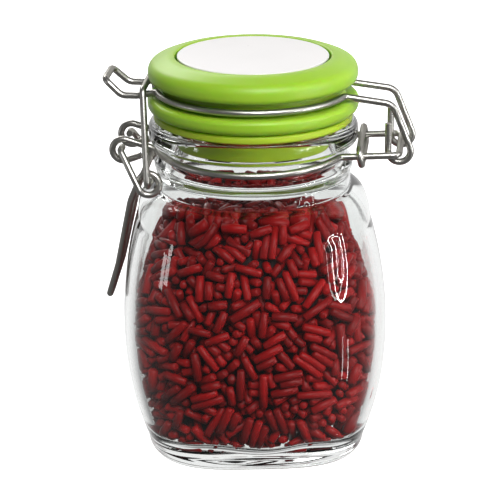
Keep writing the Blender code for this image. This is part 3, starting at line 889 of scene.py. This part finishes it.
        centred = made.add("ShaderNodeVectorMath", {0: drift, 1: (0.5, 0.5, 0.5)}, operation="SUBTRACT")
        wave = made.add("ShaderNodeVectorMath", {0: centred, "Scale": source["Waviness"]}, operation="SCALE")
        bent = made.add("GeometryNodeSetPosition", {"Geometry": real, "Offset": wave})
        made.close(made.add("GeometryNodeSetShadeSmooth", {"Geometry": bent}))
        return made

    def core(self) -> Object:
        """Dark body behind the strands, drawn in from the hollow's wall; its near-black red is painted shade,
        in place of the shaded strands deeper in the fill.

        Returns:
            The finished piece.
        """
        heights = np.linspace(self.form.floor_height + self.core_inset, self.top - self.core_inset, 24)
        width = np.interp(heights - 1.5 * MM, self.heights, self.widths) - self.core_inset
        power = np.interp(heights, self.heights, self.powers)
        rings = self.form.rings(list(zip(width, heights, power)), 64)
        # Painted shade: the core's near-black red stands in for red strands lying in shade deep in the jar.
        finish = SugarStrand(name="shaded sugar", deep="#1c0405", pale="#2a0607")
        return skin("strand_core", rings, finish.material(), crease=50.0)

    def build(self) -> None:
        """Pack the strands, grow them and set them on the jar."""
        start, end, girth = self.scatter()
        start, end = self.settle(start, end, girth)
        axis = end - start
        line = np.linalg.norm(axis, axis=1)
        places = guide("strand_places", (start + end) / 2, [], axis=axis / line[:, None],
                       girth=2 * girth / self.thickness, stretch=(line + 2 * girth) / self.length)
        strands = self.recipe().grow(
            "sugar_strands", places, Thickness=self.thickness, Length=self.length, Sides=self.sides,
            Bluntness=self.bluntness, Waviness=self.waviness, Seed=self.seed,
            Material=SugarStrand().material())
        ride(strands, Body.JAR, Slot.SUGAR, "sprinkles")
        ride(self.core(), Body.JAR, Slot.SUGAR)


# ---- lid, disc and seal

@dataclass(frozen=True)
class Lid:
    """Moulded lid: cover with a groove for its wire, inset disc, and soft seal under it."""

    sides: int = 144
    radius: float = 23.1 * MM
    top: float = 89.7 * MM
    skirt_radius: float = 23.3 * MM
    skirt_bottom: float = 77.5 * MM
    groove_radius: float = 20.3 * MM
    groove_bottom: float = 80.9 * MM
    groove_top: float = 84.3 * MM
    disc_radius: float = 16.7 * MM
    disc_seat: float = 88.9 * MM
    seat_radius: float = 17.2 * MM
    moat_depth: float = 1.5 * MM
    moat_width: float = 1.2 * MM
    seal_radius: float = 22.0 * MM
    plug_radius: float = 18.0 * MM
    hole_radius: float = 15.2 * MM
    plug_bottom: float = 70.6 * MM
    rim_height: float = 75.2 * MM

    def turned(self, name: str, corners: Sequence[Station], step: float, finish: MouldedPlastic,
               loop: bool = False) -> Object:
        """Turn one of the lid's pieces.

        Args:
            name: Name of the piece.
            corners: (radius, height, fillet) of each corner of its profile.
            step: Turn in degrees between two points of a fillet.
            finish: Its plastic.
            loop: Whether the profile is closed, as a ring's is.

        Returns:
            The finished piece.
        """
        return skin(name, lathe(rounded(corners, step), self.sides), finish.material(), loop)

    def cover(self) -> Object:
        """Green cover, from under its boss over the crown to the disc's seat.

        Returns:
            The finished piece.
        """
        boss, moat = self.hole_radius - GAP, self.disc_seat - self.moat_depth
        return self.turned("lid_cover_moulded", [
            (HUB, self.plug_bottom, 0.0), (boss, self.plug_bottom, 0.5 * MM),
            (boss, self.skirt_bottom, 0.3 * MM), (self.skirt_radius, self.skirt_bottom, 1.9 * MM),
            (self.skirt_radius, self.groove_bottom, 1.0 * MM),
            (self.groove_radius, self.groove_bottom, 0.5 * MM),
            (self.groove_radius, self.groove_top, 0.5 * MM),
            (self.radius, self.groove_top, 1.5 * MM), (self.radius, self.top - 1.6 * MM, 2.4 * MM),
            (self.radius - 4.2 * MM, self.top, 5.0 * MM), (self.seat_radius, self.top, 0.35 * MM),
            (self.seat_radius, moat, 0.1 * MM), (self.seat_radius - self.moat_width, moat, 0.1 * MM),
            (self.seat_radius - self.moat_width, self.disc_seat, 0.1 * MM), (HUB, self.disc_seat, 0.0)],
            8.0, MouldedPlastic("lime polypropylene", "#96bf2c", "#a5cf39", 0.42))

    def disc(self) -> Object:
        """Plain white disc with an eased edge.

        Returns:
            The finished piece.
        """
        bottom = self.disc_seat + GAP
        return self.turned("lid_disc_moulded", [
            (HUB, bottom, 0.0), (self.disc_radius, bottom, 0.1 * MM),
            (self.disc_radius, self.top, 0.35 * MM), (HUB, self.top, 0.0)],
            15.0, MouldedPlastic("white polypropylene", "#f0edec", "#f7f4f3", 0.3, glow=0.0))

    def seal(self) -> Object:
        """Soft ring that lies on the rim and dips into the bore.

        Returns:
            The finished piece.
        """
        top, flange = self.skirt_bottom - GAP, self.rim_height + GAP
        return self.turned("seal_ring_moulded", [
            (self.hole_radius, 0.5 * (self.plug_bottom + top), 0.0),
            (self.hole_radius, self.plug_bottom, 0.3 * MM),
            (self.plug_radius - 0.7 * MM, self.plug_bottom, 0.5 * MM),
            (self.plug_radius, flange - 0.8 * MM, 1.0 * MM), (self.plug_radius + 0.2 * MM, flange, 0.15 * MM),
            (self.seal_radius, flange, 0.5 * MM), (self.seal_radius, top, 0.5 * MM),
            (self.hole_radius, top, 0.2 * MM)],
            12.0, MouldedPlastic("yellow-green silicone", "#a9cc26", "#b7d934", 0.5), loop=True)

    def build(self) -> None:
        """Make the lid's three pieces and set them on the lid."""
        ride(self.cover(), Body.LID, Slot.LID, "lid_cover")
        ride(self.disc(), Body.LID, Slot.DISC, "lid_disc")
        ride(self.seal(), Body.LID, Slot.SEAL, "seal_ring")


# ---- wires of the closure

def coil(centre: Place, radius: float, sweep: Place, y: Place, step: float = 9.0) -> list[Corner]:
    """Corners round an eye, a loop or a hook.

    Args:
        centre: x and z of its middle.
        radius: Radius of the wire's centre line.
        sweep: First and last angle in degrees, seen from the front.
        y: Depth at its start and at its end.
        step: Turn in degrees between two corners.

    Returns:
        Corners along the coil.
    """
    steps = max(2, round(abs(sweep[1] - sweep[0]) / step))
    corners = []
    for share in (number / steps for number in range(steps + 1)):
        angle = math.radians(sweep[0] + (sweep[1] - sweep[0]) * share)
        corners.append((centre[0] + radius * math.cos(angle), y[0] + (y[1] - y[0]) * share,
                        centre[1] + radius * math.sin(angle), 0.0))
    return corners


def front_ring(radius: float, height: float, left_y: float, right_y: float, bow: float = 0.0,
               step: float = 4.0) -> list[Corner]:
    """Corners round the front of the jar, from its left junction to its right one.

    Args:
        radius: Radius of the ring's centre line.
        height: Its height.
        left_y: Distance of the left junction from the middle plane.
        right_y: The same on the right.
        bow: How far its ends stand above its middle.
        step: Turn in degrees between two corners.

    Returns:
        Corners along the front half of the ring, bent at both junctions.
    """
    left, right = math.pi + math.asin(left_y / radius), math.tau - math.asin(right_y / radius)
    steps = round(math.degrees(right - left) / step)
    corners = []
    for number in range(steps + 1):
        angle = left + (right - left) * number / steps
        x = radius * math.cos(angle)
        corners.append((x, radius * math.sin(angle), height + bow * (x / radius) ** 2,
                        1.2 * MM if number in (0, steps) else 0.0))
    return corners


def mirrored(corners: Sequence[Corner]) -> list[Vector]:
    """Centre line of a whole wire, from the corners of its front half that ends on the middle plane."""
    points = bend(corners)
    return points + [Vector((p.x, -p.y, p.z)) for p in reversed(points[:-1])]


@dataclass
class WireClosure:
    """Wires that hinge the lid and pull it shut."""

    wire_radius: float = 0.75 * MM
    sides: int = 20
    cut_ease: float = 0.12 * MM
    cut_girth: float = 0.84
    neck_ring_radius: float = 21.5 * MM
    neck_ring_height: float = 68.4 * MM
    neck_ring_bow: float = 1.0 * MM
    neck_eye_y: float = 6.3 * MM
    neck_eye: Place = (-28.2 * MM, 69.1 * MM)
    neck_eye_radius: float = 2.45 * MM
    hinge: Place = (32.6 * MM, 70.0 * MM)
    hinge_arm_y: float = 8.6 * MM
    clip: Place = (24.3 * MM, 69.5 * MM)
    clip_lean: float = math.radians(8.0)
    lid_ring_radius: float = 21.4 * MM
    lid_ring_height: float = 82.3 * MM
    lid_arm_y: float = 6.7 * MM
    lid_junction_y: float = 6.3 * MM
    hook_radius: float = 2.45 * MM
    hook_tail_top: float = 76.6 * MM
    tab_y: float = 5.8 * MM
    tab_low: float = 81.4 * MM
    tab_tip: Place = (-32.1 * MM, 84.8 * MM)
    tab_tip_y: float = 5.2 * MM
    lever: Place = (-28.6 * MM, 69.4 * MM)
    lever_stub_y: float = 5.2 * MM
    link: Place = (-21.9 * MM, 63.0 * MM)
    loop_radius: float = 2.3 * MM
    loop_y: float = 12.6 * MM
    link_stub_y: float = 9.6 * MM
    link_head_y: float = 7.9 * MM
    link_head_x: float = -23.4 * MM
    handle_tip: Place = (-33.0 * MM, 33.1 * MM)

    @property
    def pitch(self) -> float:
        """Distance between two wires that lie side by side."""
        return 2 * self.wire_radius + GAP

    def neck_wire(self) -> list[Vector]:
        """Eye for the lever, round the front of the neck, and out to the hinge's crossbar.

        Returns:
            Its centre line.
        """
        y, (x, z) = -self.neck_eye_y, self.hinge
        return mirrored([
            (-24.2 * MM, y, 68.0 * MM, 0.0),
            *coil(self.neck_eye, self.neck_eye_radius, (290.0, 78.5), (y, y)),
            (-22.7 * MM, y, 70.0 * MM, 1.5 * MM),
            *front_ring(self.neck_ring_radius, self.neck_ring_height, self.neck_eye_y, self.hinge_arm_y,
                        self.neck_ring_bow),
            (x, -self.hinge_arm_y, z, 1.6 * MM), (x, 0.0, z, 0.0)])

    def lid_wire(self) -> list[Vector]:
        """Hook under the crossbar, over to the lid, round its groove and out to the tab.

        Returns:
            Its centre line.
        """
        y, (x, z), (tip_x, tip_z) = -self.lid_arm_y, self.hinge, self.tab_tip
        ring = front_ring(self.lid_ring_radius, self.lid_ring_height, self.tab_y, self.lid_junction_y)
        return mirrored([
            (x - self.hook_radius, y, self.hook_tail_top, 0.0),
            *coil((x, z + 0.4 * MM), self.hook_radius, (180.0, 384.0), (y, y)),
            (31.0 * MM, -0.5 * (self.lid_arm_y + self.lid_junction_y), 80.9 * MM, 3.0 * MM),
            *reversed(ring), (-24.8 * MM, -self.tab_y, self.tab_low, 3.0 * MM),
            (-28.4 * MM, -self.tab_y, self.tab_low, 2.6 * MM),
            (tip_x, -self.tab_tip_y, tip_z, 1.6 * MM), (tip_x, 0.0, tip_z, 0.0)])

    def lever_wire(self) -> list[Vector]:
        """Pin in the neck wire's eye, down to the loop for the link, and along the handle.

        Returns:
            Its centre line.
        """
        (x, z), (tip_x, tip_z) = self.lever, self.handle_tip
        across, down = self.link[0] - x, self.link[1] - z
        slope = math.degrees(math.atan2(down, across))
        loop_start = slope + 270.0 - math.degrees(math.asin(self.loop_radius / math.hypot(across, down)))
        return mirrored([
            (x, -self.lever_stub_y, z, 0.0), (x, -self.neck_eye_y - self.pitch, z, 1.2 * MM),
            *coil(self.link, self.loop_radius, (loop_start, 521.6),
                  (-self.loop_y, -self.loop_y + self.pitch)),
            (-27.0 * MM, -5.5 * MM, 57.0 * MM, 3.0 * MM), (-30.5 * MM, -3.3 * MM, 41.0 * MM, 6.0 * MM),
            (tip_x, -1.5 * MM, tip_z, 1.3 * MM), (tip_x, 0.0, tip_z, 0.0)])

    def link_wire(self) -> list[Vector]:
        """Pin in the lever's loop, and up its leg to the bar that lies over the tab.

        Returns:
            Its centre line.
        """
        (x, z), head_z = self.link, self.tab_low + self.pitch + 0.15 * MM
        return mirrored([
            (x, -self.link_stub_y, z, 0.0), (x, -self.loop_y - self.pitch, z, 1.2 * MM),
            (self.link_head_x, -self.link_head_y, head_z, 1.6 * MM), (self.link_head_x, 0.0, head_z, 0.0)])

    def hinge_clip(self) -> list[Vector]:
        """Closed oval that holds the two hinge arms together beside the rim.

        Returns:
            Its centre line.
        """
        points, steps = [], 16
        for side in (1.0, -1.0):
            for step in range(steps + 1):
                angle = math.pi * step / steps - side * math.pi / 2
                rise = self.pitch * math.sin(angle)
                points.append(Vector((self.clip[0] - rise * math.sin(self.clip_lean),
                                      side * self.hinge_arm_y + self.pitch * math.cos(angle),
                                      self.clip[1] + rise * math.cos(self.clip_lean))))
        return points

    @staticmethod
    def recipe() -> Recipe:
        """Tree that runs a round section along a guide line and notes where each point is.

        Returns:
            The closed recipe.
        """
        made = Recipe("round wire", Radius="Float", Sides="Int")
        source = made.source
        line = made.add("GeometryNodeMeshToCurve", {"Mesh": source["Geometry"]})
        girth = made.add("GeometryNodeInputNamedAttribute", {"Name": "girth"}, data_type="FLOAT")
        line = made.add("GeometryNodeSetCurveRadius", {"Curve": line, "Radius": girth})
        ring = made.add("GeometryNodeCurvePrimitiveCircle", {
            "Resolution": source["Sides"], "Radius": source["Radius"]})
        line, ring = (
            made.add("GeometryNodeStoreNamedAttribute", {
                "Geometry": curve, "Name": name,
                "Value": made.add("GeometryNodeSplineParameter", out=measure)},
                data_type="FLOAT", domain="POINT")
            for curve, name, measure in ((line, "along", "Length"), (ring, "around", "Factor")))
        tube = made.add("GeometryNodeCurveToMesh", {"Curve": line, "Profile Curve": ring, "Fill Caps": True})
        made.close(made.add("GeometryNodeSetShadeSmooth", {"Geometry": tube}))
        return made

    def wire(self, name: str, points: list[Vector], recipe: Recipe, metal: Material, closed: bool) -> Object:
        """Grow one wire along its centre line, its cut ends eased.

        Args:
            name: Name of the piece.
            points: Its centre line.
            recipe: The round-wire tree.
            metal: Its finish.
            closed: Whether it is a closed ring.

        Returns:
            The finished wire.
        """
        if not closed:
            first, last = ((points[near] - points[end]).normalized() * self.cut_ease
                           for near, end in ((1, 0), (-2, -1)))
            points = [points[0], points[0] + first, *points[1:-1], points[-1] + last, points[-1]]
        count = len(points)
        girth = np.ones(count)
        if not closed:
            girth[[0, -1]] = self.cut_girth
        edges = [(i, (i + 1) % count) for i in range(count if closed else count - 1)]
        piece = recipe.grow(name, guide(name, points, edges, girth=girth), Radius=self.wire_radius,
                            Sides=self.sides, Material=metal)
        piece.data.set_sharp_from_angle(angle=math.radians(38.0))
        return piece

    def build(self) -> None:
        """Make the five wires and set each on its body."""
        metal, recipe = DrawnSteel().material(), self.recipe()
        for node, points, body in (("neck_wire", self.neck_wire(), Body.JAR),
                                   ("hinge_clip", self.hinge_clip(), Body.JAR),
                                   ("lid_wire", self.lid_wire(), Body.LID),
                                   ("lever_wire", self.lever_wire(), Body.LEVER),
                                   ("link_wire", self.link_wire(), Body.LINK)):
            piece = self.wire(node + "_drawn", points, recipe, metal, closed=node == "hinge_clip")
            ride(piece, body, Slot.WIRE, node)


# ---- studio

def facing(azimuth: float, elevation: float, distance: float, target: Vector) -> Matrix:
    """Place round the target, with its own -Z pointing at it.

    Args:
        azimuth: Degrees from the camera's side of the jar towards the hinge.
        elevation: Degrees above the target.
        distance: Distance from the target.
        target: Point that it faces.

    Returns:
        Matrix of the place.
    """
    az, el = math.radians(azimuth), math.radians(elevation)
    way = Vector((math.sin(az) * math.cos(el), -math.cos(az) * math.cos(el), math.sin(el)))
    turn = (-way).to_track_quat("-Z", "Y").to_matrix().to_4x4()
    return Matrix.Translation(target + way * distance) @ turn


@dataclass(frozen=True)
class Softbox:
    """Rectangular lamp that faces the jar."""

    name: str
    azimuth: float
    elevation: float
    distance: float
    size: Place
    watts: float
    spares_glass: bool = False

    def build(self, target: Vector) -> None:
        """Hang the lamp, and keep its reflection off the glass if it has to.

        Args:
            target: Point that it faces.
        """
        data = bpy.data.lights.new(self.name, "AREA")
        data.shape = "RECTANGLE"
        data.size, data.size_y = self.size
        data.energy = self.watts
        lamp = place(self.name, data)
        lamp.matrix_world = facing(self.azimuth, self.elevation, self.distance, target)
        lamp.visible_camera = False
        if self.spares_glass:
            flagged = bpy.data.collections.new("flagged off")
            flagged.objects.link(bpy.data.objects["jar_glass"])
            lamp.light_linking.receiver_collection = flagged
            flagged.collection_objects[0].light_linking.link_state = "EXCLUDE"


@dataclass(frozen=True)
class RingLamp:
    """Round studio lamp whose bright hoops show as an oval in the shoulder of the glass."""

    azimuth: float = 69.0
    elevation: float = 6.0
    distance: float = 0.45
    roll: float = 40.0
    squash: float = 0.65
    sides: int = 48
    hoops: tuple[Place, ...] = ((0.110, 0.009), (0.054, 0.007))
    radiance: float = 45.0

    def build(self, target: Vector) -> None:
        """Make the hoops and hang them.

        Args:
            target: Point that they face.
        """
        spot = facing(self.azimuth, self.elevation, self.distance, target)
        spot @= Matrix.Rotation(math.radians(self.roll), 4, "Z")
        spot @= Matrix.Diagonal((1.0, self.squash, 1.0, 1.0))
        mesh = bmesh.new()
        for radius, width in self.hoops:
            rings = lathe([(radius - width / 2, 0.0), (radius + width / 2, 0.0)], self.sides)
            inner, outer = ([mesh.verts.new(spot @ Vector(point)) for point in ring] for ring in rings)
            for i in range(self.sides):
                j = (i + 1) % self.sides
                mesh.faces.new((inner[i], inner[j], outer[j], outer[i]))
        data = bpy.data.meshes.new("ring_lamp")
        mesh.to_mesh(data)
        mesh.free()
        data.materials.append(Paint("lamp diffuser").finish({
            "Base Color": linear("#000000"), "Emission Color": WHITE, "Emission Strength": self.radiance}))
        lamp = place("ring_lamp", data)
        lamp.visible_camera = False
        lamp.visible_shadow = False


@dataclass(frozen=True)
class Studio:
    """White table, soft light and the camera."""

    target: tuple[float, float, float] = (-0.9 * MM, 0.0, 44.22 * MM)
    distance: float = 500 * MM
    azimuth: float = 5.8
    elevation: float = 19.4
    roll: float = -0.35
    focal_pixels: float = 2213.0
    frame_pixels: float = 500.0
    side_light: float = 0.16
    back_light: float = 0.95
    front_light: float = 0.08
    ceiling_share: float = 0.3
    table_radius: float = 3.0
    table_top: float = -0.02 * MM
    table_bottom: float = -2 * MM
    table_glow: float = 0.9
    lamps: tuple[RingLamp | Softbox, ...] = (
        RingLamp(),
        Softbox("front softbox", 22.0, 43.0, 0.7, (0.36, 0.30), 4.1, spares_glass=True),
        Softbox("back softbox", 212.0, 38.0, 0.7, (0.4, 0.25), 1.8),
        Softbox("right softbox", 80.0, 24.0, 0.8, (0.4, 0.4), 0.9, spares_glass=True),
        Softbox("left strip", -68.0, 2.0, 0.35, (0.035, 0.06), 0.045),
        Softbox("right strip", 70.0, -24.0, 0.35, (0.006, 0.07), 0.018))

    def table(self) -> None:
        """Wide pale disc under the jar."""
        paint = Paint("white card")
        fibre = paint.add("ShaderNodeTexNoise", {
            "Vector": paint.add("ShaderNodeTexCoord", out="Object"), "Scale": 900.0})
        colour = paint.add("ShaderNodeMix", {0: fibre, 6: linear("#f6f6f6"), 7: linear("#fbfbfb")}, out=2,
                           data_type="RGBA")
        card = paint.finish({"Base Color": colour, "Roughness": 0.9, "Specular IOR Level": 0.1,
                             "Emission Color": WHITE, "Emission Strength": self.table_glow})
        rings = lathe([(MM, self.table_bottom), (self.table_radius, self.table_bottom),
                       (self.table_radius, self.table_top), (MM, self.table_top)], 96)
        floor = skin("table", rings, card, crease=30.0)
        floor.visible_glossy = False
        floor.visible_diffuse = False
        floor.visible_transmission = False

    def world(self) -> None:
        """Room round the table: bright behind the jar, dull in front, dark at both sides and above."""
        world = bpy.data.worlds.new("pale room")
        world.use_nodes = True
        room = Tree(world.node_tree)
        way = room.add("ShaderNodeTexCoord", out="Generated")
        depth, rise = (room.add("ShaderNodeSeparateXYZ", {0: way}, out=axis) for axis in "YZ")
        back, front, ceiling = (
            room.add("ShaderNodeMapRange", {
                "Value": value, "From Min": start, "From Max": end, "To Min": first, "To Max": last},
                interpolation_type="SMOOTHSTEP")
            for value, start, end, first, last in (
                (depth, 0.35, 0.8, self.side_light, self.back_light),
                (depth, -0.35, -0.8, 0.0, self.front_light - self.side_light),
                (rise, 0.45, 0.75, 1.0, self.ceiling_share)))
        both = room.add("ShaderNodeMath", {0: back, 1: front}, operation="ADD")
        light = room.add("ShaderNodeMath", {0: both, 1: ceiling}, operation="MULTIPLY")
        room.feed(world.node_tree.nodes["Background"], {"Color": WHITE, "Strength": light})
        bpy.context.scene.world = world

    def camera(self, target: Vector) -> None:
        """Long lens, a little above the jar and a little to its right.

        Args:
            target: Point that it faces.
        """
        data = bpy.data.cameras.new("camera")
        data.sensor_width = 36.0
        data.lens = self.focal_pixels / self.frame_pixels * data.sensor_width
        data.clip_start = 0.01
        camera = place("camera", data)
        spot = facing(self.azimuth, self.elevation, self.distance, target)
        camera.matrix_world = spot @ Matrix.Rotation(math.radians(self.roll), 4, "Z")
        bpy.context.scene.camera = camera

    def build(self) -> None:
        """Set up the table, the room, the lamps and the camera."""
        scene = bpy.context.scene
        scene.view_settings.view_transform = "Standard"
        scene.cycles.use_denoising = True
        scene.cycles.caustics_refractive = False
        scene.cycles.caustics_reflective = False
        scene.cycles.transmission_bounces = 16
        scene.cycles.max_bounces = 20
        self.table()
        self.world()
        target = Vector(self.target)
        for lamp in self.lamps:
            lamp.build(target)
        self.camera(target)


def main() -> None:
    """Build the jar piece by piece, then the studio round it."""
    logging.basicConfig(level=logging.INFO, format="%(name)s: %(message)s")
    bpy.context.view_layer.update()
    form = JarForm()
    form.build()
    StrandFill(form).build()
    Lid().build()
    WireClosure().build()
    Studio().build()


if __name__ == "__main__":
    main()
